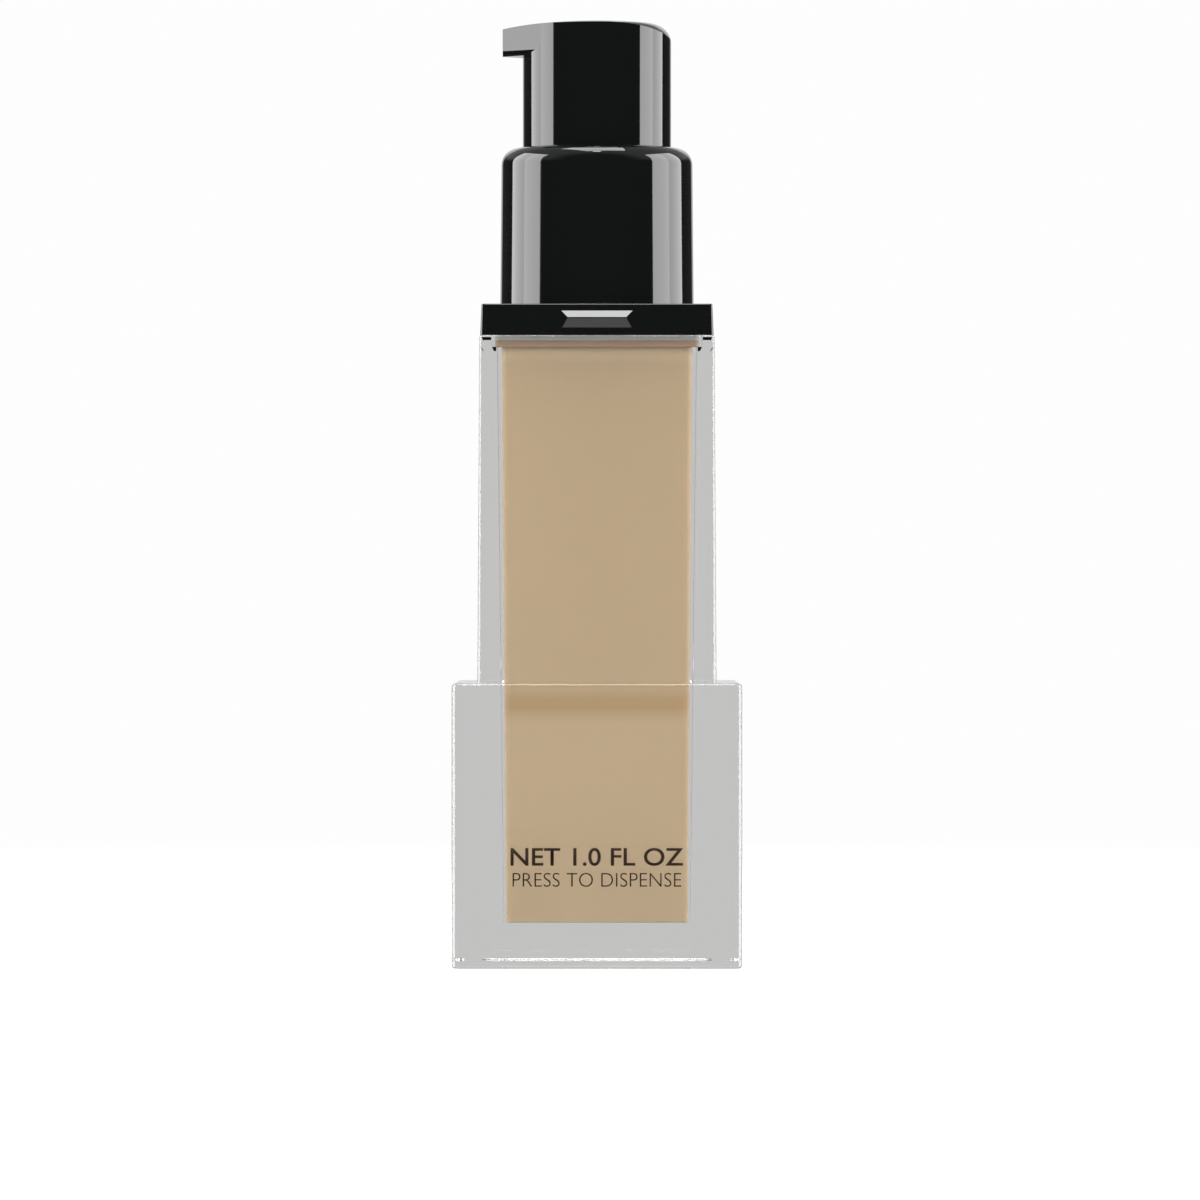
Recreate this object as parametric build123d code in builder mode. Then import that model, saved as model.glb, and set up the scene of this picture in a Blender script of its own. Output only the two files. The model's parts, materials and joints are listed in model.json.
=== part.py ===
from build123d import *
import os
from math import acos, atan, cos, degrees, hypot, pi, radians, sin, sqrt

# Foundation bottle with a press pump, in millimetres.
# The frame: +Z up, origin at the middle of the underside, the printed front faces -Y.
# At rest the nozzle points to -X.
#
# From the outside in, the object is a clear stepped outer bottle, a moulded liner that
# holds the foundation, a black square shoulder plate, and a screw-on pump: a threaded
# closure under a glossy round collar, a housing with its dip tube, and a press button.

# ---- Clear outer bottle ---------------------------------------------------------------
body_width = 28.4             # upper body at its rim, square in plan
body_draft = 0.25             # how far each side leans out, from the rim to the ledge
body_height = 42.0            # ledge to rim
body_corner_radius = 0.8
body_wall = 2.0               # beside the liner, at the rim
lip_wall = 1.4                # beside the liner's flange
rim_radius = 0.25             # small round on the rim's outer edge
ledge_width = 3.05            # ledge round the body, which an overcap stands on
block_height = 34.4           # wide foot, from the floor to the ledge
block_corner_radius = 1.0     # upright edges of the foot
block_ledge_radius = 0.55     # edge round the ledge
block_foot_radius = 0.45      # edge round the underside
floor_thickness = 5.4         # solid clear base under the liner

# ---- Liner and its neck ---------------------------------------------------------------
liner_draft = 0.85            # how far each side leans in, from the flange to the floor
liner_corner_radius = 0.9
liner_wall = 1.0
liner_gap = 0.1               # air between liner and outer bottle, each side
flange_corner_radius = 1.2
flange_thickness = 0.8        # square flange that hangs the liner in the rim's rebate
neck_plate_thickness = 0.6    # welded lid of the liner, which carries the neck
flange_fit = 0.1              # flange to rebate, each side
neck_bore_radius = 6.3
neck_wall = 1.6
fluid_gap = 0.05              # foundation to liner and pump

# ---- Shoulder plate -------------------------------------------------------------------
plate_inset = 0.1             # plate's foot set back from the rim, each side
plate_draft = 0.15
plate_height = 3.8
plate_corner_radius = 0.5
plate_edge_radius = 0.2
plate_wall = 1.4
plate_fit = 0.15              # plate bore to neck
bead_height = 0.7             # bead on the neck that keeps the plate down
bead_proud = 0.5
bead_gap = 0.1
bead_sink = 0.2               # how far the bead's root lies inside the neck
lug_width = 8.6               # hipped snap lug on front and back, for an overcap
lug_ridge_width = 7.1
lug_height = 2.2
lug_ridge_height = 0.12
lug_ridge_drop = 1.7          # plate top down to the lug's ridge
lug_lift = 0.25               # how far the lug's middle lies below its ridge
lug_proud = 0.55
lug_land = 0.05               # straight part of the lug before its slopes

# ---- Thread of the neck and the closure -----------------------------------------------
thread_pitch = 3.0
thread_turns = 1.5
thread_base = 1.3             # ridge width at its root
thread_crest = 0.7
thread_depth = 0.9
thread_gap = 0.2              # crest to the facing wall
thread_root_sink = 0.2        # how far a ridge's root lies inside its wall
thread_end_land = 0.7         # plain wall beyond each end of a ridge

# ---- Closure and collar ---------------------------------------------------------------
closure_wall = 1.35
closure_ledge = 1.1           # inward ledge that presses the pump down
closure_lift = 1.2            # plate top to the closure's lower rim
seat_gap = 0.02               # faces that bear on each other
shell_fit = 0.05              # collar shell to closure
shell_wall = 1.3
shell_draft = 0.17            # how much wider the shell's radius is at its foot
shell_top_wall = 1.2
shell_step = 0.4              # least step from the opening out to the shell's inside
shell_edge_radius = 2.1
shell_edge_share = 0.85       # most of the shell's top that its edge round may take
shell_mouth_radius = 0.25     # small round at the opening round the button
shell_foot_gap = 0.15         # shell to plate
shell_bead_height = 0.6       # bead that hooks under the closure
shell_bead_proud = 0.35
press_clearance = 0.3         # button skirt to closure, fully pressed
skirt_engagement = 2.1        # button skirt inside the collar at rest

# ---- Button ---------------------------------------------------------------------------
press_stroke = 4.5
button_radius = 9.1
button_gap = 0.22             # button to collar opening
button_height = 15.6          # collar top to the button's crown
button_wall = 1.2
crown_radius = 65.0           # gentle dome of the top
crown_edge_radius = 2.5       # round at the back of the crown, which fades towards the beak
crown_shift = 2.85            # how far the round's own axis stands towards the beak
crown_clear = 0.04            # the round's own radius stands this far outside the wall
crown_thickness = 1.0
beak_length = 2.45            # nozzle tip, beyond the button's round
beak_half_width = 1.75        # half the width of the nozzle's tip
beak_overlap = 1.6            # degrees that the beak's sides run on past their tangent points
beak_sink = 0.05              # how far those sides end inside the round
beak_drop = 4.3               # crown down to the beak's underside
beak_edge_radius = 1.5
beak_edge_share = 0.94        # most of the beak's half width that this round may take
nozzle_drop = 2.75            # crown down to the nozzle's axis
nozzle_outer_radius = 1.05
nozzle_bore_radius = 0.6
nozzle_fit = 0.03
nozzle_recess = 0.25          # nozzle tube set back from the beak's tip
core_fit = 0.05
post_wall = 1.15              # core's post, round the stem
core_clearance = 0.4          # core to the guide's boss, fully pressed
deck_lift = 0.6               # stem's top up to the core's deck
deck_thickness = 1.0
rib_width = 0.8
rib_lift = 1.5                # core's foot up to its ribs

# ---- Pump -----------------------------------------------------------------------------
gasket_thickness = 0.8
gasket_overhang = 0.2         # past the neck's outside
gasket_bore_gap = 0.15        # gasket bore to neck bore
housing_flange_thickness = 1.0
housing_flange_overhang = 0.6 # past the neck's outside
housing_wall = 1.0
pump_bore_radius = 3.9        # cylinder in which the piston runs
mouth_step = 1.0              # the mouth is this much wider than the cylinder
mouth_wall = 0.7
neck_clearance = 0.3          # housing to neck bore
mouth_cone_height = 0.6       # cone from the mouth's outside down to the barrel
rim_wall = 0.8
rim_height = 1.2              # rim above the flange, which the guide snaps over
guide_plug_length = 5.0
guide_skirt = 0.7
guide_gap = 0.2               # guide to the closure's ledge
guide_flange_thickness = 0.8
guide_boss_radius = 2.9
guide_boss_height = 1.4
guide_fit = 0.03
stem_radius = 1.95
stem_bore_radius = 1.1
stem_gap = 0.05               # running gap round the stem
stem_stop_radius = 3.3
stem_stop_thickness = 0.8
stem_grip = 5.0               # length of stem inside the button
piston_slip = 0.6             # lost motion that opens and shuts the outlet
piston_length = 4.6
piston_sleeve = 0.6
piston_lip = 0.3
piston_gap = 0.03             # lip to cylinder
piston_cup_depth = 1.5
piston_lip_tip = 0.2          # piston's end to its lip's edge
piston_lip_land = 0.6         # straight part of a lip
valve_disc_radius = 3.1
valve_disc_thickness = 1.2
valve_pin_length = 4.0
valve_groove_width = 0.5
spigot_length = 1.0           # centres the spring under the valve's disc
spigot_gap = 0.15
spring_wire = 0.6
spring_radius = 2.75          # mean radius
spring_coils = 6.5
spring_slack = 0.6            # left between the coils, fully pressed
spring_gap = 0.03
ball_radius = 1.6
ball_lift = 0.9
ball_gap = 0.02               # ball to its seat
ball_room = 0.5               # ball chamber radius over the ball's
nib_thickness = 0.6
nib_width = 0.6
nib_reach = 0.9               # how far a nib hooks over the ball, from the chamber wall
nib_sink = 0.1                # how far a nib's root lies inside that wall
nib_gap = 0.1                 # lifted ball to the nibs
house_land = 0.6              # straight part below the ball house's cone
seat_throat_radius = 0.9
inlet_length = 1.0
tube_outer_radius = 1.8
tube_wall = 0.6
tube_fit = 0.02
tube_socket_length = 6.0
tube_vee_half_width = 1.1     # notch across the tube's lower end
tube_vee_height = 1.4
socket_wall = 1.1
tube_floor_gap = 1.6          # tube end to the liner's floor
vent_radius = 0.35
vent_drop = 0.5               # piston's upper lip down to the vent hole
lift_room = 0.1               # foundation to the pump's outside
cut_past = 1.0                # how far a cut runs on beyond what it cuts

# ---- Levels and sizes that follow -----------------------------------------------------
body_width_foot = body_width + 2 * body_draft
block_width = body_width_foot + 2 * ledge_width
liner_width_rim = body_width - 2 * (body_wall + liner_gap)
liner_width_foot = liner_width_rim - 2 * liner_draft
flange_width = body_width - 2 * (lip_wall + flange_fit)
plate_width_foot = body_width - 2 * plate_inset
plate_width_top = plate_width_foot - 2 * plate_draft

body_top = block_height + body_height
rebate_depth = flange_thickness + neck_plate_thickness
rebate_z = body_top - rebate_depth
neck_plate_z = rebate_z + flange_thickness
liner_foot_z = floor_thickness + liner_gap
liner_floor_z = liner_foot_z + liner_wall
fluid_top = neck_plate_z - 2 * fluid_gap

plate_top = body_top + plate_height
neck_radius = neck_bore_radius + neck_wall
bead_z = plate_top + bead_gap
bead_radius = neck_radius + bead_proud
thread_crest_radius = neck_radius + thread_depth
closure_root_radius = thread_crest_radius + thread_gap
closure_crest_radius = closure_root_radius - thread_depth
thread_rise = thread_turns * thread_pitch
closure_foot = plate_top + closure_lift
closure_thread_z = closure_foot + thread_end_land + thread_base / 2 - thread_root_sink
neck_thread_z = closure_thread_z + thread_pitch / 2
neck_top = neck_thread_z + thread_rise + thread_base / 2 + thread_end_land

gasket_outer_radius = neck_radius + gasket_overhang
gasket_top = neck_top + gasket_thickness
housing_flange_radius = neck_radius + housing_flange_overhang
housing_flange_top = gasket_top + housing_flange_thickness
collar_opening = button_radius + button_gap
ledge_z = housing_flange_top + seat_gap
closure_top = ledge_z + closure_ledge
closure_radius = max(closure_root_radius + closure_wall, collar_opening + shell_step - shell_fit)

mouth_radius = pump_bore_radius + mouth_step
rim_outer_radius = mouth_radius + rim_wall
guide_radius = rim_outer_radius + guide_fit + guide_skirt
ledge_hole_radius = guide_radius + guide_gap
barrel_radius = pump_bore_radius + housing_wall
throat_radius = min(mouth_radius + mouth_wall, neck_bore_radius - neck_clearance)
rim_top = housing_flange_top + rim_height
guide_top = rim_top + guide_flange_thickness
boss_top = guide_top + guide_boss_height
stop_z = rim_top - guide_plug_length
bore_top = stop_z - guide_fit

button_foot = closure_top + press_clearance + press_stroke
collar_top = button_foot + skirt_engagement
crown_z = collar_top + button_height
shell_inner_radius = closure_radius + shell_fit
shell_radius_top = shell_inner_radius + shell_wall
shell_radius_foot = shell_radius_top + shell_draft
shell_foot = plate_top + shell_foot_gap
shell_corner = min(shell_edge_radius, shell_edge_share * (shell_radius_top - collar_opening))

stem_stop_top = stop_z - seat_gap
stem_stop_foot = stem_stop_top - stem_stop_thickness
piston_top = stem_stop_foot - piston_slip - seat_gap
piston_foot = piston_top - piston_length
disc_top = piston_foot - seat_gap
disc_foot = disc_top - valve_disc_thickness
stem_foot = piston_foot + piston_slip
spring_pressed = (spring_coils + 1) * spring_wire + spring_slack
spring_ledge = disc_foot - press_stroke - spring_pressed

chamber_radius = ball_radius + ball_room
nib_foot = spring_ledge - nib_thickness
ball_z = nib_foot - nib_gap - ball_lift - ball_radius
seat_apex = ball_z - ball_radius * sqrt(2) - ball_gap
seat_top = seat_apex + chamber_radius
seat_foot = seat_apex + seat_throat_radius
socket_top = seat_foot - inlet_length
socket_foot = socket_top - tube_socket_length
tube_socket_radius = tube_outer_radius + tube_fit
ball_house_radius = chamber_radius + housing_wall
socket_radius = max(tube_socket_radius + socket_wall, seat_throat_radius + housing_wall)
barrel_foot = spring_ledge - housing_wall
cone_foot = barrel_foot - (barrel_radius - ball_house_radius)
house_foot = min(cone_foot, socket_top) - house_land

core_foot = boss_top + press_stroke + core_clearance
nozzle_z = crown_z - nozzle_drop
beak_foot = crown_z - beak_drop
stem_top = core_foot + stem_grip
core_radius = button_radius - button_wall - core_fit
post_radius = stem_radius + post_wall
core_deck_z = stem_top + deck_lift
beak_reach = button_radius + beak_length
ceiling_z = crown_z - crown_thickness - button_radius ** 2 / (2 * crown_radius)


def turned(*outline):
    """Revolves a closed outline of (radius, height) points about the bottle's axis."""
    with BuildSketch(Plane.XZ) as half:
        with BuildLine():
            Polyline(*outline, close=True)
        make_face()
    revolve(half.sketch, axis=Axis.Z)


def disc(radius, low, high, mode=Mode.ADD):
    """A plain round of one radius between two heights."""
    with BuildSketch(Plane.XY.offset(low)) as end:
        Circle(radius)
    extrude(end.sketch, amount=high - low, mode=mode)


def drafted(low_width, high_width, corner, low, high, mode=Mode.ADD):
    """A square prism with round upright edges and drafted sides, from low up to high."""
    slope = degrees(atan((low_width - high_width) / 2 / (high - low)))
    with BuildSketch(Plane.XY.offset(low)) as end:
        RectangleRounded(low_width, low_width, corner)
    extrude(end.sketch, amount=high - low, taper=slope, mode=mode)


def thread_ridge(root_radius, crest_radius, first_z):
    """One helical thread ridge, standing out of the wall at root_radius."""
    sink = thread_root_sink if crest_radius < root_radius else -thread_root_sink
    with BuildLine() as path:
        Helix(thread_pitch, thread_rise, root_radius, center=(0, 0, first_z))
    with BuildSketch(Plane.XZ) as tooth:
        with BuildLine():
            Polyline(
                (root_radius + sink, first_z - thread_base / 2),
                (crest_radius, first_z - thread_crest / 2),
                (crest_radius, first_z + thread_crest / 2),
                (root_radius + sink, first_z + thread_base / 2),
                close=True,
            )
        make_face()
    sweep(tooth.sketch, path=path.line, is_frenet=True)


def liner_inside(height):
    """Width of the liner's inside at a height above its floor's underside."""
    share = (height - liner_foot_z) / (rebate_z - liner_foot_z)
    return liner_width_foot + share * (liner_width_rim - liner_width_foot) - 2 * liner_wall


# ---- The bottle -----------------------------------------------------------------------
with BuildPart() as outer_bottle:
    drafted(block_width, block_width, block_corner_radius, 0, block_height)
    fillet(outer_bottle.faces().sort_by(Axis.Z)[0].edges(), block_foot_radius)
    fillet(outer_bottle.faces().sort_by(Axis.Z)[-1].edges(), block_ledge_radius)
    drafted(body_width_foot, body_width, body_corner_radius, block_height, body_top)
    drafted(
        liner_width_foot + 2 * liner_gap,
        liner_width_rim + 2 * liner_gap,
        liner_corner_radius,
        floor_thickness,
        rebate_z,
        mode=Mode.SUBTRACT,
    )
    with BuildSketch(Plane.XY.offset(rebate_z)):
        RectangleRounded(
            flange_width + 2 * flange_fit, flange_width + 2 * flange_fit, flange_corner_radius
        )
    extrude(amount=rebate_depth, mode=Mode.SUBTRACT)
    rim = outer_bottle.faces().sort_by(Axis.Z)[-1].outer_wire()
    fillet(rim.edges(), rim_radius)

with BuildPart() as inner_liner:
    drafted(liner_width_foot, liner_width_rim, liner_corner_radius, liner_foot_z, rebate_z)
    with BuildSketch(Plane.XY.offset(rebate_z)):
        RectangleRounded(flange_width, flange_width, flange_corner_radius)
    extrude(amount=flange_thickness)
    drafted(
        liner_inside(liner_floor_z),
        liner_inside(neck_plate_z),
        liner_corner_radius - liner_wall / 2,
        liner_floor_z,
        neck_plate_z,
        mode=Mode.SUBTRACT,
    )

with BuildPart() as liner_neck:
    with BuildSketch(Plane.XY.offset(neck_plate_z)):
        RectangleRounded(flange_width, flange_width, flange_corner_radius)
    extrude(amount=neck_plate_thickness)
    disc(neck_radius, neck_plate_z, neck_top)
    turned(
        (neck_radius - bead_sink, bead_z),
        (bead_radius, bead_z),
        (bead_radius, bead_z + bead_height / 2),
        (neck_radius - bead_sink, bead_z + bead_height),
    )
    thread_ridge(neck_radius, thread_crest_radius, neck_thread_z)
    disc(neck_bore_radius, neck_plate_z, neck_top, mode=Mode.SUBTRACT)

with BuildPart() as foundation_fluid:
    fluid_foot = liner_floor_z + fluid_gap
    drafted(
        liner_inside(fluid_foot) - 2 * fluid_gap,
        liner_inside(fluid_top) - 2 * fluid_gap,
        liner_corner_radius - liner_wall / 2,
        fluid_foot,
        fluid_top,
    )
    disc(tube_outer_radius + lift_room, fluid_foot, fluid_top, mode=Mode.SUBTRACT)
    for radius, foot in (
        (socket_radius, socket_foot),
        (ball_house_radius, house_foot),
        (barrel_radius, cone_foot),
    ):
        if foot < fluid_top:
            disc(radius + lift_room, foot - lift_room, fluid_top, mode=Mode.SUBTRACT)

with BuildPart() as shoulder_plate:
    drafted(plate_width_foot, plate_width_top, plate_corner_radius, body_top, plate_top)
    fillet(shoulder_plate.faces().sort_by(Axis.Z)[-1].edges(), plate_edge_radius)
    hollow_width = plate_width_foot - 2 * plate_wall
    hollow_height = plate_height - plate_wall
    with BuildSketch(Plane.XY.offset(body_top)):
        RectangleRounded(hollow_width, hollow_width, plate_corner_radius)
        Circle(neck_radius + plate_fit + plate_wall, mode=Mode.SUBTRACT)
    extrude(amount=hollow_height, mode=Mode.SUBTRACT)
    disc(neck_radius + plate_fit, body_top, plate_top, mode=Mode.SUBTRACT)
    # The lug is a short block with a hipped front, made on the front face and mirrored.
    lug_ridge_z = plate_top - lug_ridge_drop
    front = Plane.XZ.offset(plate_width_top / 2)
    with BuildSketch(front.offset(-plate_wall / 2)):
        with Locations((0, lug_ridge_z - lug_lift)):
            Rectangle(lug_width, lug_height)
    extrude(amount=plate_wall / 2 + lug_land)
    with BuildSketch(front.offset(lug_land)):
        with Locations((0, lug_ridge_z - lug_lift)):
            Rectangle(lug_width, lug_height)
    with BuildSketch(front.offset(lug_proud)):
        with Locations((0, lug_ridge_z)):
            Rectangle(lug_ridge_width, lug_ridge_height)
    loft(ruled=True)
    mirror(about=Plane.XZ)

# ---- The screw-on closure -------------------------------------------------------------
with BuildPart() as screw_closure:
    turned(
        (closure_root_radius, closure_foot),
        (closure_radius, closure_foot),
        (closure_radius, closure_top),
        (ledge_hole_radius, closure_top),
        (ledge_hole_radius, ledge_z),
        (closure_root_radius, ledge_z),
    )
    thread_ridge(closure_root_radius, closure_crest_radius, closure_thread_z)

with BuildPart() as collar_shell:
    bead_inner = shell_inner_radius - shell_bead_proud
    ceiling = collar_top - shell_top_wall
    turned(
        (bead_inner, shell_foot),
        (shell_radius_foot, shell_foot),
        (shell_radius_top, collar_top),
        (collar_opening, collar_top),
        (collar_opening, ceiling),
        (shell_inner_radius, ceiling),
        (shell_inner_radius, shell_foot + shell_bead_height + shell_bead_proud),
        (bead_inner, shell_foot + shell_bead_height),
    )
    rounds = collar_shell.edges().filter_by(GeomType.CIRCLE).group_by(Axis.Z)[-1]
    fillet(rounds.sort_by(SortBy.RADIUS)[-1], shell_corner)
    rounds = collar_shell.edges().filter_by(GeomType.CIRCLE).group_by(Axis.Z)[-1]
    fillet(rounds.sort_by(SortBy.RADIUS)[0], shell_mouth_radius)

# ---- The pump body --------------------------------------------------------------------
with BuildPart() as neck_gasket:
    turned(
        (neck_bore_radius + gasket_bore_gap, neck_top),
        (gasket_outer_radius, neck_top),
        (gasket_outer_radius, gasket_top),
        (neck_bore_radius + gasket_bore_gap, gasket_top),
    )

with BuildPart() as pump_housing:
    turned(
        (tube_socket_radius, socket_foot),
        (tube_socket_radius, socket_top),
        (seat_throat_radius, socket_top),
        (seat_throat_radius, seat_foot),
        (chamber_radius, seat_top),
        (chamber_radius, spring_ledge),
        (pump_bore_radius, spring_ledge),
        (pump_bore_radius, bore_top),
        (mouth_radius, bore_top),
        (mouth_radius, rim_top),
        (rim_outer_radius, rim_top),
        (rim_outer_radius, housing_flange_top),
        (housing_flange_radius, housing_flange_top),
        (housing_flange_radius, gasket_top),
        (throat_radius, gasket_top),
        (throat_radius, bore_top - housing_wall),
        (barrel_radius, bore_top - housing_wall - mouth_cone_height),
        (barrel_radius, barrel_foot),
        (ball_house_radius, cone_foot),
        (ball_house_radius, house_foot),
        (socket_radius, house_foot),
        (socket_radius, socket_foot),
    )
    # Three nibs over the ball keep it in its chamber.
    nib_centre = chamber_radius - nib_reach / 2 + nib_sink
    with BuildSketch(Plane.XY.offset(nib_foot)):
        with PolarLocations(nib_centre, 3):
            Rectangle(nib_reach + 2 * nib_sink, nib_width)
    extrude(amount=nib_thickness)
    # The vent lets air into the liner as the foundation is drawn out. The piston's lips
    # shut it at rest.
    with BuildSketch(Plane.YZ):
        with Locations((0, piston_top - piston_cup_depth - vent_drop)):
            Circle(vent_radius)
    extrude(amount=throat_radius + cut_past, mode=Mode.SUBTRACT)

with BuildPart() as stem_guide:
    turned(
        (stem_radius + stem_gap, stop_z),
        (mouth_radius - guide_fit, stop_z),
        (mouth_radius - guide_fit, rim_top + guide_fit),
        (rim_outer_radius + guide_fit, rim_top + guide_fit),
        (rim_outer_radius + guide_fit, housing_flange_top + guide_fit),
        (guide_radius, housing_flange_top + guide_fit),
        (guide_radius, guide_top),
        (guide_boss_radius, guide_top),
        (guide_boss_radius, boss_top),
        (stem_radius + stem_gap, boss_top),
    )

with BuildPart() as dip_tube:
    tube_foot = liner_floor_z + tube_floor_gap
    disc(tube_outer_radius, tube_foot, socket_top - seat_gap)
    disc(tube_outer_radius - tube_wall, tube_foot, socket_top, mode=Mode.SUBTRACT)
    # A vee across the tube's end keeps it from sealing against the floor.
    with BuildSketch(Plane.YZ):
        with BuildLine():
            Polyline(
                (-tube_vee_half_width, tube_foot),
                (0, tube_foot + tube_vee_height),
                (tube_vee_half_width, tube_foot),
                close=True,
            )
        make_face()
    extrude(amount=tube_outer_radius + cut_past, both=True, mode=Mode.SUBTRACT)

with BuildPart() as return_spring:
    spring_foot = spring_ledge + spring_gap + spring_wire / 2
    spring_head = disc_foot - spring_gap - spring_wire / 2
    spring_pitch = (spring_head - spring_foot) / spring_coils
    with BuildLine() as coil:
        Helix(spring_pitch, spring_head - spring_foot, spring_radius, center=(0, 0, spring_foot))
    with BuildSketch(Plane(origin=coil.line @ 0, z_dir=coil.line % 0)):
        Circle(spring_wire / 2)
    sweep(is_frenet=True)

with BuildPart() as check_ball:
    with Locations((0, 0, ball_z)):
        Sphere(ball_radius)

# ---- The plunger ----------------------------------------------------------------------
with BuildPart() as stem:
    disc(stem_radius, stem_foot, stem_top)
    disc(stem_stop_radius, stem_stop_foot, stem_stop_top)
    disc(stem_bore_radius, stem_foot, stem_top, mode=Mode.SUBTRACT)

with BuildPart() as stem_valve:
    disc(valve_disc_radius, disc_foot, disc_top)
    disc(stem_bore_radius - guide_fit, disc_top, disc_top + valve_pin_length)
    disc(spring_radius - spring_wire / 2 - spigot_gap, disc_foot - spigot_length, disc_foot)
    # Three grooves along the pin carry the foundation up into the stem.
    with BuildSketch(Plane.XY.offset(disc_top)):
        with PolarLocations(stem_bore_radius, 3):
            Rectangle(stem_bore_radius, valve_groove_width)
    extrude(amount=valve_pin_length, mode=Mode.SUBTRACT)

with BuildPart() as piston:
    bore = stem_radius + stem_gap
    sleeve = bore + piston_sleeve
    lip = pump_bore_radius - piston_gap
    turned(
        (bore, piston_foot),
        (bore, piston_top),
        (sleeve, piston_top),
        (sleeve, piston_top - piston_cup_depth),
        (lip - 2 * piston_lip, piston_top - piston_cup_depth),
        (lip - piston_lip, piston_top - piston_lip_tip),
        (lip, piston_top - piston_lip_tip),
        (lip, piston_top - piston_lip_tip - piston_lip_land),
        (lip - piston_lip, piston_top - piston_cup_depth),
        (lip - piston_lip, piston_foot + piston_cup_depth),
        (lip, piston_foot + 2 * piston_lip_tip + piston_lip_land),
        (lip, piston_foot + 2 * piston_lip_tip),
        (lip - piston_lip, piston_foot + 2 * piston_lip_tip),
        (lip - 2 * piston_lip, piston_foot + piston_cup_depth),
        (sleeve, piston_foot + piston_cup_depth),
        (sleeve, piston_foot),
    )

# ---- The button -----------------------------------------------------------------------
with BuildPart() as beak:
    tangent = acos(button_radius / hypot(beak_reach, beak_half_width))
    turn = atan(beak_half_width / beak_reach) + tangent + radians(beak_overlap)
    side_x = -(button_radius - beak_sink) * cos(turn)
    side_y = (button_radius - beak_sink) * sin(turn)
    slope = atan((side_y - beak_half_width) / (beak_reach + side_x))
    with BuildSketch(Plane.XY.offset(beak_foot)):
        with BuildLine():
            Polyline(
                (-beak_reach, -beak_half_width),
                (side_x, -side_y),
                (0, 0),
                (side_x, side_y),
                (-beak_reach, beak_half_width),
                close=True,
            )
        make_face()
    extrude(amount=beak_drop)
    low_edges = beak.edges().group_by(Axis.Z)[0]
    long_edges = low_edges.filter_by(lambda e: abs(e.center().Y) > beak_half_width / 2)
    side_edges = long_edges.filter_by(lambda e: e.center().X < side_x)
    fillet(side_edges, min(beak_edge_radius, beak_edge_share * beak_half_width * cos(slope)))

with BuildPart() as crown_form:
    # The domed top and its round, on an axis nearer the beak than the button's own.
    with BuildSketch(Plane.XY.offset(button_foot)):
        with Locations((-crown_shift, 0)):
            Circle(button_radius + crown_shift + crown_clear)
    extrude(amount=crown_z - button_foot)
    with Locations((0, 0, crown_z - crown_radius)):
        Sphere(crown_radius, mode=Mode.INTERSECT)
    fillet(crown_form.faces().sort_by(Axis.Z)[-1].edges(), crown_edge_radius)

with BuildPart() as button_shell:
    disc(button_radius, button_foot, crown_z)
    add(beak.part)
    add(crown_form.part, mode=Mode.INTERSECT)
    disc(button_radius - button_wall, button_foot, ceiling_z, mode=Mode.SUBTRACT)
    with BuildSketch(Plane.YZ):
        with Locations((0, nozzle_z)):
            Circle(nozzle_outer_radius + nozzle_fit)
    extrude(amount=-beak_reach - cut_past, mode=Mode.SUBTRACT)

with BuildPart() as button_core:
    disc(post_radius, core_foot, ceiling_z - core_fit)
    disc(core_radius, core_deck_z, core_deck_z + deck_thickness)
    # Four ribs stiffen the deck.
    with BuildSketch(Plane.XY.offset(core_foot + rib_lift)):
        with PolarLocations(0, 4):
            Rectangle(2 * core_radius, rib_width)
    extrude(amount=core_deck_z - core_foot - rib_lift)
    disc(stem_radius + core_fit, core_foot, stem_top + seat_gap, mode=Mode.SUBTRACT)
    disc(stem_bore_radius, stem_top, nozzle_z, mode=Mode.SUBTRACT)
    with BuildSketch(Plane.YZ):
        with Locations((0, nozzle_z)):
            Circle(nozzle_bore_radius)
    extrude(amount=-beak_reach, mode=Mode.SUBTRACT)

with BuildPart() as nozzle_tube:
    nozzle_root = post_radius + core_fit
    with BuildSketch(Plane.YZ.offset(-nozzle_root)):
        with Locations((0, nozzle_z)):
            Circle(nozzle_outer_radius)
            Circle(nozzle_bore_radius, mode=Mode.SUBTRACT)
    extrude(amount=-(beak_reach - nozzle_recess - nozzle_root))

# ---- Write one file for each piece ----------------------------------------------------
pieces = {
    "outer_bottle": outer_bottle,
    "inner_liner": inner_liner,
    "liner_neck": liner_neck,
    "foundation_fluid": foundation_fluid,
    "shoulder_plate": shoulder_plate,
    "screw_closure": screw_closure,
    "collar_shell": collar_shell,
    "neck_gasket": neck_gasket,
    "pump_housing": pump_housing,
    "stem_guide": stem_guide,
    "dip_tube": dip_tube,
    "return_spring": return_spring,
    "check_ball": check_ball,
    "stem": stem,
    "stem_valve": stem_valve,
    "piston": piston,
    "button_shell": button_shell,
    "button_core": button_core,
    "nozzle_tube": nozzle_tube,
}

os.makedirs("parts", exist_ok=True)
for name, piece in pieces.items():
    piece.part.label = name
    export_step(piece.part, f"parts/{name}.step")

print(f"height {crown_z:.2f}, foundation {foundation_fluid.part.volume / 1000:.1f} ml")
print(f"dose {pi * pump_bore_radius ** 2 * press_stroke / 1000:.2f} ml a stroke")
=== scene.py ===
import json
from math import cos, pi, radians, sin

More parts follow.
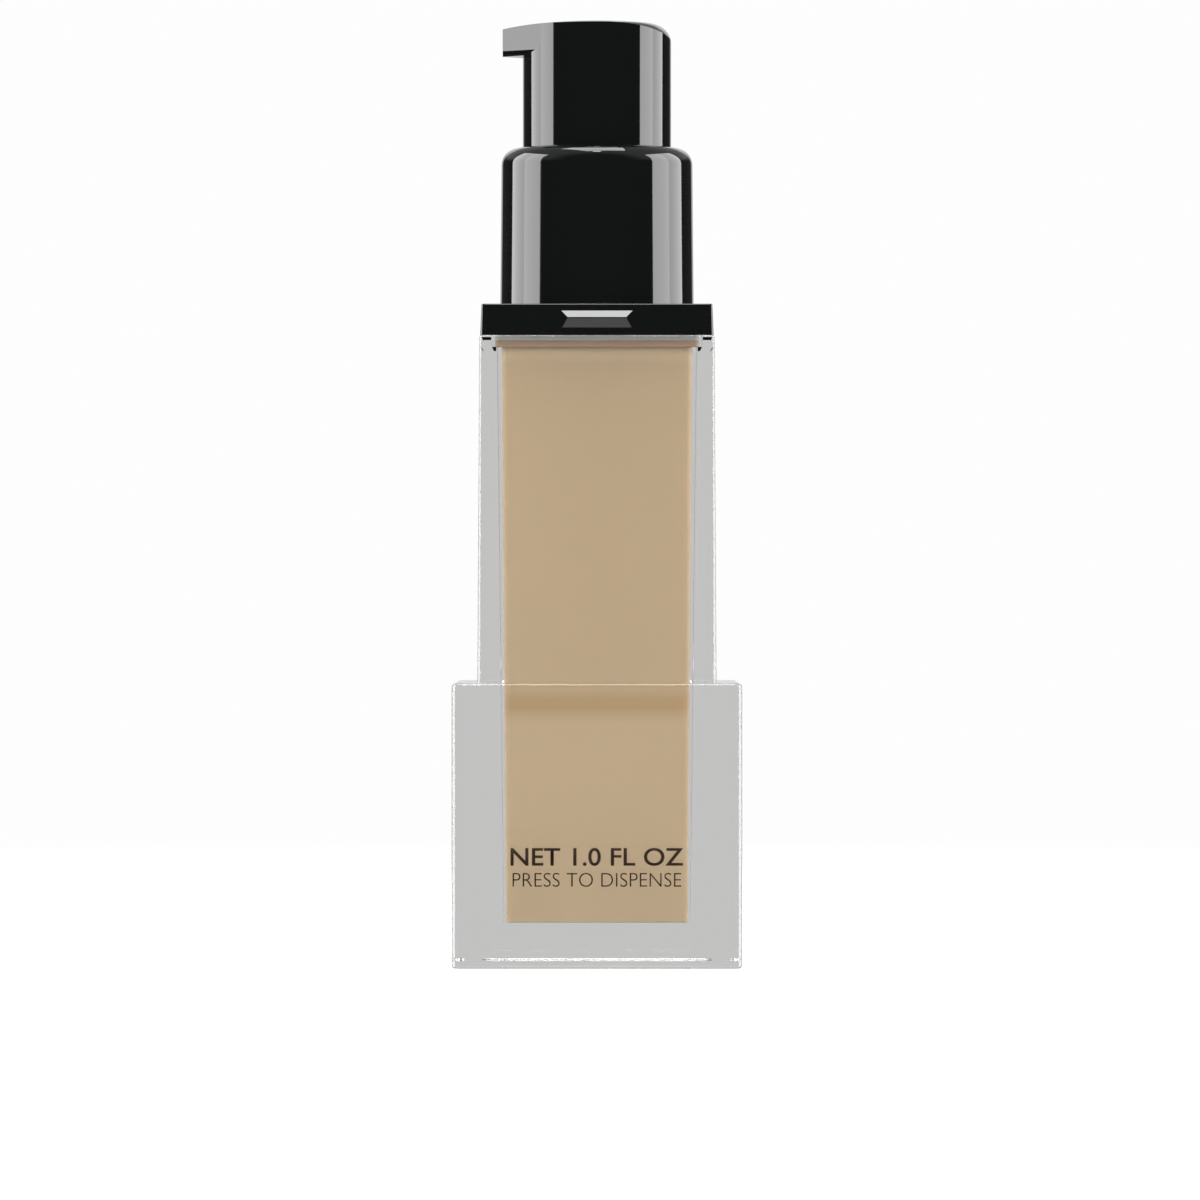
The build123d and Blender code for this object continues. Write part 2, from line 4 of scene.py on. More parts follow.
import bpy
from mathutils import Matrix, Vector


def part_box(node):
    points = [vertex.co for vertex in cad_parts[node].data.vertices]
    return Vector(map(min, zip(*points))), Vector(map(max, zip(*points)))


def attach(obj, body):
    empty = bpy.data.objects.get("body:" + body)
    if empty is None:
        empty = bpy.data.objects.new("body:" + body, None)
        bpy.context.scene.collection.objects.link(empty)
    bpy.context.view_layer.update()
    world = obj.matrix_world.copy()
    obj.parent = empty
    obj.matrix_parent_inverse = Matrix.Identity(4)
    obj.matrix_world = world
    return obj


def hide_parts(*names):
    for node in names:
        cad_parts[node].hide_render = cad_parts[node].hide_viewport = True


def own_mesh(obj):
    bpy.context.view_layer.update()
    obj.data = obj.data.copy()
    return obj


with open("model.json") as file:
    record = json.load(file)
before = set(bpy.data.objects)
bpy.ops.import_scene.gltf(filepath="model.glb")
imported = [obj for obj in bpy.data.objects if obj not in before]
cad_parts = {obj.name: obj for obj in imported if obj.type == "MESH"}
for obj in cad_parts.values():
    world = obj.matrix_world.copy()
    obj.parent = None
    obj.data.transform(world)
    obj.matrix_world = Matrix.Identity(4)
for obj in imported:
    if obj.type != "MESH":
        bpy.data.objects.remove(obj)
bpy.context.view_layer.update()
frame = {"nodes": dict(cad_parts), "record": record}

# %% [markdown]
# # A foundation bottle with a press pump
#
# The bottle is a clear acrylic shell with a wide foot. A thin liner stands inside it and
# holds the make-up, and a glossy black pump screws onto the liner's neck. The frame holds
# every piece at its true size, so the work here is finish: how light goes through the
# acrylic, how the black mouldings shine, and what is printed on the front.
#
# Most sizes below are read from the frame, so a change to the design moves the looks with
# it. What the frame doesn't state, such as the spring's wire, is a named value here.

# %% Measure the frame
MM = 0.001
nodes = frame["nodes"]
foot_low, foot_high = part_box("outer_bottle")
crown_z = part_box("button_shell")[1].z
print("pieces in the frame:", len(nodes), "height", round(crown_z / MM, 1), "mm")

# %% [markdown]
# ## Helpers for node trees
#
# Every finish starts from the Principled shader. Values that are the same all over a
# surface go straight onto the shader's sockets, and only what changes over the surface is
# linked. Two small helpers keep that short: one makes a material and sets its plain
# values, the other adds a node and sets its inputs.


# %% Node helpers
def add_node(tree, kind, inputs=(), **settings):
    """Adds a node, sets its properties and then its inputs by name or number."""
    node = tree.nodes.new(kind)
    for name, value in settings.items():
        setattr(node, name, value)
    for name, value in dict(inputs).items():
        node.inputs[name].default_value = value
    return node


def new_finish(name, colour, roughness, **values):
    """A material whose Principled shader has these plain values. Returns it and its tree."""
    finish = bpy.data.materials.new(name)
    finish.use_nodes = True
    tree = finish.node_tree
    shader = tree.nodes["Principled BSDF"]
    shader.inputs["Base Color"].default_value = (*colour, 1.0)
    shader.inputs["Roughness"].default_value = roughness
    for socket, value in values.items():
        name = socket.replace("_", " ").title().replace("Ior", "IOR")
        shader.inputs[name].default_value = value
    return finish, tree, shader


# %% [markdown]
# ## Shared surface detail
#
# Moulded plastic is never perfectly even. Its gloss varies a little from place to place,
# and its skin has a faint waviness left by the tool. One shader group makes both from two
# scales of noise. Each finish uses the group with its own numbers, so a polished cap and a
# plain inner part differ only by what they ask of it.


# %% Group: moulded skin
def make_skin_group():
    """Group that gives a roughness with soft patches, and a height for a bump."""
    group = bpy.data.node_groups.new("moulded_skin", "ShaderNodeTree")
    for name, default in (
        ("Roughness", 0.1),
        ("Patchiness", 0.02),
        ("Patch Scale", 90.0),
        ("Grain Scale", 1500.0),
    ):
        socket = group.interface.new_socket(name, in_out="INPUT", socket_type="NodeSocketFloat")
        socket.default_value = default
    for name in ("Roughness", "Height"):
        group.interface.new_socket(name, in_out="OUTPUT", socket_type="NodeSocketFloat")
    given = add_node(group, "NodeGroupInput")
    out = add_node(group, "NodeGroupOutput")
    place = add_node(group, "ShaderNodeTexCoord")
    patches = add_node(group, "ShaderNodeTexNoise", {"Detail": 3.0, "Roughness": 0.6})
    grain = add_node(group, "ShaderNodeTexNoise", {"Detail": 2.0, "Roughness": 0.5})
    centred = add_node(group, "ShaderNodeMath", {1: 0.5}, operation="SUBTRACT")
    spread = add_node(group, "ShaderNodeMath", operation="MULTIPLY")
    total = add_node(group, "ShaderNodeMath", operation="ADD", use_clamp=True)
    links = group.links
    links.new(place.outputs["Object"], patches.inputs["Vector"])
    links.new(place.outputs["Object"], grain.inputs["Vector"])
    links.new(given.outputs["Patch Scale"], patches.inputs["Scale"])
    links.new(given.outputs["Grain Scale"], grain.inputs["Scale"])
    links.new(patches.outputs["Fac"], centred.inputs[0])
    links.new(centred.outputs[0], spread.inputs[0])
    links.new(given.outputs["Patchiness"], spread.inputs[1])
    links.new(spread.outputs[0], total.inputs[0])
    links.new(given.outputs["Roughness"], total.inputs[1])
    links.new(total.outputs[0], out.inputs["Roughness"])
    links.new(grain.outputs["Fac"], out.inputs["Height"])
    return group


skin_group = make_skin_group()


def add_skin(tree, shader, roughness, patchiness, patch_scale, grain_scale, depth):
    """Puts the moulded skin into a finish. depth is the bump's height in metres."""
    skin = add_node(tree, "ShaderNodeGroup", node_tree=skin_group)
    for name, value in (
        ("Roughness", roughness),
        ("Patchiness", patchiness),
        ("Patch Scale", patch_scale),
        ("Grain Scale", grain_scale),
    ):
        skin.inputs[name].default_value = value
    bump = add_node(tree, "ShaderNodeBump", {"Strength": 1.0, "Distance": depth})
    tree.links.new(skin.outputs["Roughness"], shader.inputs["Roughness"])
    tree.links.new(skin.outputs["Height"], bump.inputs["Height"])
    tree.links.new(bump.outputs["Normal"], shader.inputs["Normal"])


print("moulded_skin has", len(skin_group.nodes), "nodes")

# %% [markdown]
# ## Gloss black
#
# The plate, collar and button are injection moulded in black and polished in the tool.
# Black shows nothing of its own, only reflections, so its base colour is almost nothing
# and the shape is drawn by the lamps mirrored in it. A very shallow bump makes the
# reflected edges waver slightly, as they do on a real moulding.

# %% Finish: gloss black
gloss_black, tree, shader = new_finish("gloss_black", (0.0018, 0.0021, 0.0020), 0.05, ior=1.5)
add_skin(
    tree, shader, roughness=0.045, patchiness=0.03, patch_scale=70.0, grain_scale=260.0, depth=1.2e-6
)
print(gloss_black.name, "has", len(tree.nodes), "nodes")

# %% [markdown]
# ## Clear acrylic
#
# Acrylic bends light with an index of 1.49. Path tracing sends few rays through two
# walls to a lamp, so the inside would look dark and noisy. The usual remedy is used here:
# rays that only ask whether a lamp is in sight pass straight through, while rays that the
# camera follows are bent as they should be. The polish here is even, with no grain.

# %% Finish: clear acrylic
ACRYLIC_IOR = 1.49
clear_acrylic, tree, shader = new_finish(
    "clear_acrylic", (0.970, 0.972, 0.970), 0.0, ior=ACRYLIC_IOR, transmission_weight=1.0
)
path = add_node(tree, "ShaderNodeLightPath")
sheer = add_node(tree, "ShaderNodeBsdfTransparent", {"Color": (0.93, 0.935, 0.94, 1.0)})
choice = add_node(tree, "ShaderNodeMixShader")
tree.links.new(path.outputs["Is Shadow Ray"], choice.inputs["Fac"])
tree.links.new(shader.outputs["BSDF"], choice.inputs[1])
tree.links.new(sheer.outputs["BSDF"], choice.inputs[2])
tree.links.new(choice.outputs["Shader"], tree.nodes["Material Output"].inputs["Surface"])
print(clear_acrylic.name, "bends light by", ACRYLIC_IOR)

# %% [markdown]
# ## The liner, coloured by what it holds, with painted light and shade
#
# The liner is thin milky polypropylene, so it takes on the colour of the make-up behind
# it. Bands of painted light and shade are laid on that colour. Painted shade darkens a band
# just under the ledge, where light that comes in over the ledge is bent away. The flange
# under the rim is thicker, and a browner band of painted shade lies across it, where the
# plate above shades it. Just below the flange a band of painted light lifts the shadow
# that the flange casts. The three bands go round all four sides, so they follow height.
# The tone is also painted a little darker and yellower at the rounded corners, as painted
# shade where they turn from the light.

# %% Colours and heights on the liner
seat = [m for m in frame["record"]["mounts"] if m["name"] == "overcap_seat"][0]
LEDGE_Z = seat["pos_m"][2]
RIM_Z = foot_high.z
# painted shade: the tone turns darker and yellower at the rounded corners, between these distances
CORNER_SHADE_START, CORNER_SHADE_END = 9.8 * MM, 11.8 * MM  # distance from the middle, both ways
# Each band's stops are (mm above its edge, strength from 0 to 1), from low to high.
# painted shade: the darker tan band just under the ledge, where light over the ledge is bent away
LEDGE_SHADE_BAND = ((-4.8, 0.0), (-3.0, 1.0), (-1.9, 0.9), (-0.2, 0.0))
# painted shade: a browner band across the flange, where the plate above shades it
FLANGE_SHADE_BAND = ((-1.5, 0.0), (-1.4, 0.85), (-0.75, 1.0), (-0.6, 1.0))
# painted light: a lighter band just below the flange that lifts the flange's shadow
UNDER_FLANGE_LIGHT_BAND = ((-3.4, 0.0), (-2.2, 0.6), (-1.5, 1.0), (-1.42, 0.0))
liner_finish, tree, shader = new_finish("liner_plastic", (0.62, 0.47, 0.31), 0.38, ior=1.49)
BEIGE = (0.642, 0.476, 0.292, 1.0)
# colour of the painted light below the flange
UNDER_FLANGE_LIGHT_TONE = (0.820, 0.620, 0.400, 1.0)
# colour of the painted shade under the ledge
LEDGE_SHADE_TONE = (0.545, 0.362, 0.185, 1.0)
# colour of the painted shade at the rounded corners
CORNER_SHADE_TONE = (0.600, 0.430, 0.240, 1.0)
# colour of the painted shade across the flange
FLANGE_SHADE_TONE = (0.60, 0.395, 0.265, 1.0)
print("ledge at", round(LEDGE_Z / MM, 1), "mm, rim at", round(RIM_Z / MM, 1), "mm")


# %% Helpers for bands and mixes
def height_band(tree, height, edge, band):
    """A mask that follows height: band holds (mm above the edge, strength) pairs."""
    stops = [(edge + offset * MM, value) for offset, value in band]
    low, high = stops[0][0], stops[-1][0]
    share = add_node(tree, "ShaderNodeMapRange", {"From Min": low, "From Max": high})
    ramp = add_node(tree, "ShaderNodeValToRGB")
    points = ramp.color_ramp.elements
    while len(points) < len(stops):
        points.new(0.5)
    for point, (z, value) in zip(points, stops):
        point.position = (z - low) / (high - low)
        point.color = (value, value, value, 1.0)
    tree.links.new(height, share.inputs["Value"])
    tree.links.new(share.outputs["Result"], ramp.inputs["Fac"])
    return ramp.outputs["Color"]


def mix_colours(tree, mask, first, second):
    """Mixes two colours, each a socket or four numbers, by a mask."""
    mix = add_node(tree, "ShaderNodeMix", data_type="RGBA")
    tree.links.new(mask, mix.inputs["Factor"])
    for name, value in (("A", first), ("B", second)):
        socket = [s for s in mix.inputs if s.name == name and s.type == "RGBA"][0]
        if isinstance(value, tuple):
            socket.default_value = value
        else:
            tree.links.new(value, socket)
    return [s for s in mix.outputs if s.type == "RGBA"][0]


# %% Finish: filled liner
place = add_node(tree, "ShaderNodeTexCoord")
split = add_node(tree, "ShaderNodeSeparateXYZ")
tree.links.new(place.outputs["Object"], split.inputs[0])
side = [add_node(tree, "ShaderNodeMath", operation="ABSOLUTE") for _ in "xy"]
tree.links.new(split.outputs["X"], side[0].inputs[0])
tree.links.new(split.outputs["Y"], side[1].inputs[0])
nearest = add_node(tree, "ShaderNodeMath", operation="MINIMUM")
tree.links.new(side[0].outputs[0], nearest.inputs[0])
tree.links.new(side[1].outputs[0], nearest.inputs[1])
# mask of the painted shade at the rounded corners
corner_shade = add_node(
    tree,
    "ShaderNodeMapRange",
    {"From Min": CORNER_SHADE_START, "From Max": CORNER_SHADE_END},
    interpolation_type="SMOOTHSTEP",
)
tree.links.new(nearest.outputs[0], corner_shade.inputs["Value"])
banded = mix_colours(tree, corner_shade.outputs["Result"], BEIGE, CORNER_SHADE_TONE)
# the three height bands are painted shade under the ledge, painted shade across the flange and
# painted light just below the flange
for edge, band, tone in (
    (LEDGE_Z, LEDGE_SHADE_BAND, LEDGE_SHADE_TONE),
    (RIM_Z, FLANGE_SHADE_BAND, FLANGE_SHADE_TONE),
    (RIM_Z, UNDER_FLANGE_LIGHT_BAND, UNDER_FLANGE_LIGHT_TONE),
):
    banded = mix_colours(tree, height_band(tree, split.outputs["Z"], edge, band), banded, tone)
tree.links.new(banded, shader.inputs["Base Color"])
add_skin(
    tree, shader, roughness=0.34, patchiness=0.12, patch_scale=120.0, grain_scale=900.0, depth=2e-6
)
print(liner_finish.name, "has", len(tree.nodes), "nodes")

# %% [markdown]
# ## The plain inner mouldings
#
# Inside the pump are parts that nobody sees in use: white and natural polypropylene, a
# soft tube, a foam gasket. They are duller than the outside, with a finer and deeper
# grain, and the natural plastics let a little light in, which the subsurface weight gives.


# %% Finish: moulded inner plastics
def plain_moulding(name, colour, roughness, grain_scale, depth, glow=0.0):
    """A dull moulded plastic. glow is how much light enters its skin."""
    finish, tree, shader = new_finish(name, colour, roughness)
    if glow:
        shader.inputs["Subsurface Weight"].default_value = glow
        shader.inputs["Subsurface Radius"].default_value = (0.0012, 0.0011, 0.0010)
    add_skin(tree, shader, roughness, 0.1, 150.0, grain_scale, depth)
    return finish


black_plastic = plain_moulding("black_plastic", (0.012, 0.012, 0.013), 0.32, 1800.0, 4e-6)
white_plastic = plain_moulding("white_plastic", (0.78, 0.78, 0.75), 0.36, 1800.0, 3e-6, glow=0.15)
natural_plastic = plain_moulding("natural_plastic", (0.70, 0.72, 0.71), 0.30, 1500.0, 3e-6, glow=0.35)
tube_plastic = plain_moulding("tube_plastic", (0.74, 0.76, 0.75), 0.24, 700.0, 2e-6, glow=0.45)
gasket_foam = plain_moulding("gasket_foam", (0.74, 0.74, 0.71), 0.85, 5200.0, 3e-5)
print("inner finishes made, all with the moulded skin")

# %% [markdown]
# ## Make-up
#
# The make-up is a thick opaque liquid with slow streaks of its pigments, so its colour
# drifts a little over a few millimetres.

# %% Finish: make-up
foundation, tree, shader = new_finish("foundation", (0.56, 0.36, 0.21), 0.2, subsurface_weight=0.25)
shader.inputs["Subsurface Radius"].default_value = (0.0016, 0.0009, 0.0005)
place = add_node(tree, "ShaderNodeTexCoord")
streaks = add_node(
    tree, "ShaderNodeTexNoise", {"Scale": 140.0, "Detail": 4.0, "Distortion": 1.2}
)
tree.links.new(place.outputs["Object"], streaks.inputs["Vector"])
LIGHT_STREAK = (0.60, 0.40, 0.24, 1.0)
DARK_STREAK = (0.52, 0.33, 0.19, 1.0)
blend = mix_colours(tree, streaks.outputs["Fac"], LIGHT_STREAK, DARK_STREAK)
tree.links.new(blend, shader.inputs["Base Color"])
add_skin(
    tree, shader, roughness=0.18, patchiness=0.08, patch_scale=200.0, grain_scale=500.0, depth=4e-6
)
print(foundation.name, "has", len(tree.nodes), "nodes")

# %% [markdown]
# ## Wire and ball
#
# The spring is drawn steel wire and the ball is ground steel, brighter and smoother than
# the wire. Both are plain metal with the shared skin at a fine scale.

# %% Finish: steels
spring_steel, tree, shader = new_finish("spring_steel", (0.62, 0.62, 0.63), 0.28, metallic=1.0)
add_skin(
    tree, shader, roughness=0.26, patchiness=0.12, patch_scale=900.0, grain_scale=6000.0, depth=3e-6
)
ball_steel, tree, shader = new_finish("ball_steel", (0.72, 0.72, 0.73), 0.08, metallic=1.0)
add_skin(
    tree, shader, roughness=0.07, patchiness=0.04, patch_scale=500.0, grain_scale=3000.0, depth=4e-7
)
print("steels made:", spring_steel.name, ball_steel.name)

# %% [markdown]
# ## Giving each piece its finish
#
# The frame's record says which finish each piece takes. Following it here keeps the looks
# and the stored record the same, and a new piece gets its finish with no new code.

# %% Assign the finishes
finishes = {
    "clear_acrylic": clear_acrylic,
    "liner_plastic": liner_finish,
    "foundation": foundation,
    "gloss_black": gloss_black,
    "black_plastic": black_plastic,
    "white_plastic": white_plastic,
    "natural_plastic": natural_plastic,
    "tube_plastic": tube_plastic,
    "gasket_foam": gasket_foam,
    "spring_steel": spring_steel,
    "ball_steel": ball_steel,
}
for part in frame["record"]["subparts"]:
    piece = nodes[part["node"]]
    piece.data.materials.clear()
    piece.data.materials.append(finishes[part["material_slot"]])
    print(part["node"], "takes", part["material_slot"])

# %% [markdown]
# ## The return spring
#
# A compression spring is one wire wound at a steady pitch, with a closed coil at each end
# so that it stands square. That is a rule, so Geometry Nodes draw it: a spiral gives the
# turns, one formula sets each point's height from how many turns came before it, and a
# round section is swept along. It replaces the plain coil in the frame.


# %% Build the spring tree
CLOSED_COILS = 2.0  # one closed coil at each end
END_WIRES = 3.0  # wire thicknesses that the closed coils and the wire itself take
TURN_STEPS = 40
WIRE_SIDES = 12


def make_spring_tree():
    """Geometry Nodes tree for a compression spring with closed ends, along +Z from 0."""
    tree = bpy.data.node_groups.new("compression_spring", "GeometryNodeTree")
    made = {}
    for name, kind in (
        ("Coils", "NodeSocketFloat"),
        ("Mean Radius", "NodeSocketFloat"),
        ("Wire Radius", "NodeSocketFloat"),
        ("Length", "NodeSocketFloat"),
        ("Foot Height", "NodeSocketFloat"),
        ("Finish", "NodeSocketMaterial"),
    ):
        made[name] = tree.interface.new_socket(name, in_out="INPUT", socket_type=kind).identifier
    tree.interface.new_socket("Geometry", in_out="OUTPUT", socket_type="NodeSocketGeometry")
    links = tree.links
    given = add_node(tree, "NodeGroupInput")
    out = add_node(tree, "NodeGroupOutput")

    def maths(operation, first, second):
        """A Math node on two sockets or numbers."""
        node = add_node(tree, "ShaderNodeMath", operation=operation)
        for number, value in enumerate((first, second)):
            if isinstance(value, (int, float)):
                node.inputs[number].default_value = value
            else:
                links.new(value, node.inputs[number])
        return node.outputs[0]

    coils = given.outputs["Coils"]
    turns = maths("ADD", coils, CLOSED_COILS)
    spiral = add_node(tree, "GeometryNodeCurveSpiral", {"Resolution": TURN_STEPS, "Height": 0.0})
    links.new(turns, spiral.inputs["Rotations"])
    links.new(given.outputs["Mean Radius"], spiral.inputs["Start Radius"])
    links.new(given.outputs["Mean Radius"], spiral.inputs["End Radius"])
    share = add_node(tree, "GeometryNodeSplineParameter")
    so_far = maths("MULTIPLY", share.outputs["Factor"], turns)
    wire = maths("MULTIPLY", given.outputs["Wire Radius"], 2.0)
    free = maths("SUBTRACT", given.outputs["Length"], maths("MULTIPLY", wire, END_WIRES))
    pitch = maths("DIVIDE", free, coils)
    closed_low = maths("MULTIPLY", maths("MINIMUM", so_far, 1.0), wire)
    past_first = maths("MAXIMUM", maths("SUBTRACT", so_far, 1.0), 0.0)
    open_turns = maths("MINIMUM", past_first, coils)
    past_open = maths("SUBTRACT", so_far, maths("ADD", coils, 1.0))
    closed_high = maths("MULTIPLY", maths("MAXIMUM", past_open, 0.0), wire)
    rise = maths("ADD", maths("ADD", closed_low, maths("MULTIPLY", open_turns, pitch)), closed_high)
    wire_middle = maths("ADD", rise, given.outputs["Wire Radius"])
    height = maths("ADD", wire_middle, given.outputs["Foot Height"])
    lift = add_node(tree, "ShaderNodeCombineXYZ")
    links.new(height, lift.inputs["Z"])
    raised = add_node(tree, "GeometryNodeSetPosition")
    links.new(spiral.outputs["Curve"], raised.inputs["Geometry"])
    links.new(lift.outputs["Vector"], raised.inputs["Offset"])
    section = add_node(tree, "GeometryNodeCurvePrimitiveCircle", {"Resolution": WIRE_SIDES})
    links.new(given.outputs["Wire Radius"], section.inputs["Radius"])
    swept = add_node(tree, "GeometryNodeCurveToMesh", {"Fill Caps": True})
    links.new(raised.outputs["Geometry"], swept.inputs["Curve"])
    links.new(section.outputs["Curve"], swept.inputs["Profile Curve"])
    smooth = add_node(tree, "GeometryNodeSetShadeSmooth")
    links.new(swept.outputs["Mesh"], smooth.inputs["Geometry"])
    real = add_node(tree, "GeometryNodeRealizeInstances")
    links.new(smooth.outputs["Geometry"], real.inputs["Geometry"])
    coated = add_node(tree, "GeometryNodeSetMaterial")
    links.new(real.outputs["Geometry"], coated.inputs["Geometry"])
    links.new(given.outputs["Finish"], coated.inputs["Material"])
    links.new(coated.outputs["Geometry"], out.inputs["Geometry"])
    return tree, made


def plain_mesh(holder, name):
    """Turns an evaluated object into a plain mesh object at the origin."""
    bpy.context.view_layer.update()
    seen = bpy.context.evaluated_depsgraph_get()
    mesh = bpy.data.meshes.new_from_object(holder.evaluated_get(seen))
    mesh.name = name
    made = bpy.data.objects.new(name, mesh)
    bpy.context.scene.collection.objects.link(made)
    bpy.data.objects.remove(holder)
    made.name = name
    return made


# %% [markdown]
# ## Winding and fitting the spring
#
# The tree is put on an empty holder, given its sizes by each socket's identifier, and its
# result is kept as a plain mesh. It rides with the pump.

# %% Wind the spring
spring_low, spring_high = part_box("return_spring")
WIRE_RADIUS = 0.3 * MM
SPRING_COILS = 5.5
spring_tree, inputs = make_spring_tree()
holder = bpy.data.objects.new("spring_holder", bpy.data.meshes.new("spring_holder"))
bpy.context.scene.collection.objects.link(holder)
winding = holder.modifiers.new("winding", "NODES")
winding.node_group = spring_tree
for name, value in (
    ("Coils", SPRING_COILS),
    ("Mean Radius", spring_high.x - WIRE_RADIUS),
    ("Wire Radius", WIRE_RADIUS),
    ("Length", spring_high.z - spring_low.z),
    ("Foot Height", spring_low.z),
    ("Finish", spring_steel),
):
    winding[inputs[name]] = value
spring = plain_mesh(holder, "wound_spring")
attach(spring, "pump")
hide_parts("return_spring")
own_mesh(spring)

# %% [markdown]
# ## The print on the front
#
# The make-up's name and maker stand here on a real bottle, screen-printed in dark brown
# ink. This one says only what it holds and how to use it. Screen print is a film of ink
# about a hundredth of a millimetre thick with crisp edges, so it is made as flat letters
# with that little thickness, lying on the front of the foot.

# %% Finish: printing ink
ink, tree, shader = new_finish("printing_ink", (0.014, 0.007, 0.004), 0.42, specular_ior_level=0.1)
add_skin(
    tree, shader, roughness=0.42, patchiness=0.15, patch_scale=600.0, grain_scale=5000.0, depth=2e-6
)
print(ink.name, "has", len(tree.nodes), "nodes")

# %% [markdown]
# ## Letters as a film of ink
#
# Blender's own font gives the outlines. Each line becomes a plain mesh first, and only
# then is stretched to its width and height and laid on the front, so that its place is in
# its mesh. A Solidify modifier gives it the thickness of the film.

# %% Print the two lines
INK_FILM = 0.012 * MM
FRONT_Y = foot_low.y
CURVE_STEPS = 6


def print_line(name, words, width, cap_height, base_z, weight):
    """One line of print, centred on the front face, with this overall width and height."""
    letters = bpy.data.curves.new(name, "FONT")
    letters.body = words
    letters.align_x = "CENTER"
    letters.offset = weight
    letters.resolution_u = CURVE_STEPS
    holder = bpy.data.objects.new(name + "_letters", letters)
    bpy.context.scene.collection.objects.link(holder)
    line = plain_mesh(holder, name)
    xs = [v.co.x for v in line.data.vertices]
    ys = [v.co.y for v in line.data.vertices]
    stretch = width / (max(xs) - min(xs))
    rise = cap_height / (max(ys) - min(ys))
    middle = (max(xs) + min(xs)) / 2
    for v in line.data.vertices:
        height = base_z + (v.co.y - min(ys)) * rise
        v.co = Vector(((v.co.x - middle) * stretch, FRONT_Y, height))
    line.data.materials.clear()
    line.data.materials.append(ink)
    film = line.modifiers.new("film", "SOLIDIFY")
    film.thickness = INK_FILM
    film.offset = 1.0
    line = plain_mesh(line, name)
    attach(line, "bottle")
    print(name, "has", len(line.data.polygons), "faces")


# Name, words, width, height of the capitals and foot of the line in mm, and how much the
# strokes are fattened, or thinned where it is below 0.
for name, words, width, cap_height, base_z, weight in (
    ("print_contents", "NET 1.0 FL OZ", 20.8, 2.17, 12.42, 0.012),
    ("print_use", "PRESS TO DISPENSE", 20.3, 1.68, 9.90, -0.012),
):
    print_line(name, words, width * MM, cap_height * MM, base_z * MM, weight)

# %% [markdown]
# ## Lamps
#
# A gloss black object is lit by what it mirrors. Two tall boxes at each side, one bright
# and one dim, are seen only in reflections and draw the stripes down the round parts.
# Other boxes light the matt liner, and the black can't mirror them. Two small cards are
# aimed at the upper and lower facets of the snap lug, and a box overhead and a weak card
# behind serve every surface. Separate lamps for gloss and for matt do what a studio does
# with flags.


# %% Hang the lamps
AIM_HEIGHT = 60 * MM


def soft_box(name, azimuth, elevation, distance, width, height, radiance, unseen_by):
    """A rectangular lamp that faces the bottle. Azimuth 0 is in front, 90 is to the right."""
    aim = Vector((0, 0, AIM_HEIGHT))
    out = Vector((
        sin(radians(azimuth)) * cos(radians(elevation)),
        -cos(radians(azimuth)) * cos(radians(elevation)),
        sin(radians(elevation)),
    ))
    lamp = bpy.data.lights.new(name, "AREA")
    lamp.shape = "RECTANGLE"
    lamp.size = width
    lamp.size_y = height
    lamp.energy = radiance * pi * width * height
    holder = bpy.data.objects.new(name, lamp)
    holder.location = aim + out * distance
    holder.rotation_euler = out.to_track_quat("Z", "Y").to_euler()
    holder.visible_camera = False
    holder.visible_transmission = False
    if unseen_by:
        setattr(holder, "visible_" + unseen_by, False)
    bpy.context.scene.collection.objects.link(holder)


# Name, azimuth and elevation in degrees, distance, width and height in metres, radiance,
# and the kind of ray that doesn't see the lamp.
LAMPS = (
    ("left_box", -97, 3, 0.62, 0.58, 1.00, 5.6, "diffuse"),
    ("left_inner_box", -84, 3, 0.60, 0.28, 1.00, 1.9, "diffuse"),
    ("right_box", 96, 3, 0.62, 0.60, 1.00, 5.4, "diffuse"),
    ("right_inner_box", 83, 3, 0.60, 0.28, 1.00, 2.1, "diffuse"),
    ("left_fill_box", -100, 18, 0.90, 0.80, 0.80, 2.6, "glossy"),
    ("right_fill_box", 100, 18, 0.90, 0.80, 0.80, 2.4, "glossy"),
    ("rear_fill_box", 180, 20, 0.90, 0.80, 0.80, 3.6, "glossy"),
    ("front_box", 0, 42, 0.80, 0.50, 0.34, 14.0, "glossy"),
    ("fill_box", 0, 12, 1.30, 1.40, 0.90, 5.4, "glossy"),
    ("top_box", 20, 89, 0.75, 0.44, 0.46, 7.0, None),
    ("lug_card", 0, 66.3, 0.80, 0.09, 0.08, 14.0, None),
    ("low_card", 0, -38.5, 0.80, 0.20, 0.16, 1.5, "diffuse"),
    ("back_card", 180, 12, 1.00, 0.80, 0.60, 0.7, None),
)
for lamp in LAMPS:
    soft_box(*lamp)
print("lamps:", len(LAMPS))

# %% [markdown]
# ## A world that answers each kind of ray
#
# The camera sees white. Clear acrylic needs something even and grey behind it, so that
# its walls read against that white, so rays that went through it see grey. Rays mirrored
# by the black see near darkness, with a pale wall high up all round, except
# towards the camera.

# %% Build the world


def grey(value):
    """A neutral colour."""
    return (value, value, value, 1.0)


WALL_RISE = (0.17, 0.30)  # Z of a direction, over which the pale wall fades in
WALL_FRONT = (-0.75, -0.45)  # Y of a direction, over which it fades in
world = bpy.data.worlds.new("studio")
bpy.context.scene.world = world
world.use_nodes = True
tree = world.node_tree
path = add_node(tree, "ShaderNodeLightPath")
backdrop = tree.nodes["Background"]
seen = grey(0.985)
through = (0.572, 0.572, 0.568, 1.0)
mirrored = (0.05, 0.05, 0.052, 1.0)
high_wall = (0.50, 0.50, 0.51, 1.0)
ambient = grey(0.42)
heading = add_node(tree, "ShaderNodeTexCoord")
split = add_node(tree, "ShaderNodeSeparateXYZ")
raised, beyond = [
    add_node(tree, "ShaderNodeMapRange", {"From Min": low, "From Max": high})
    for low, high in (WALL_RISE, WALL_FRONT)
]
both = add_node(tree, "ShaderNodeMath", operation="MULTIPLY")
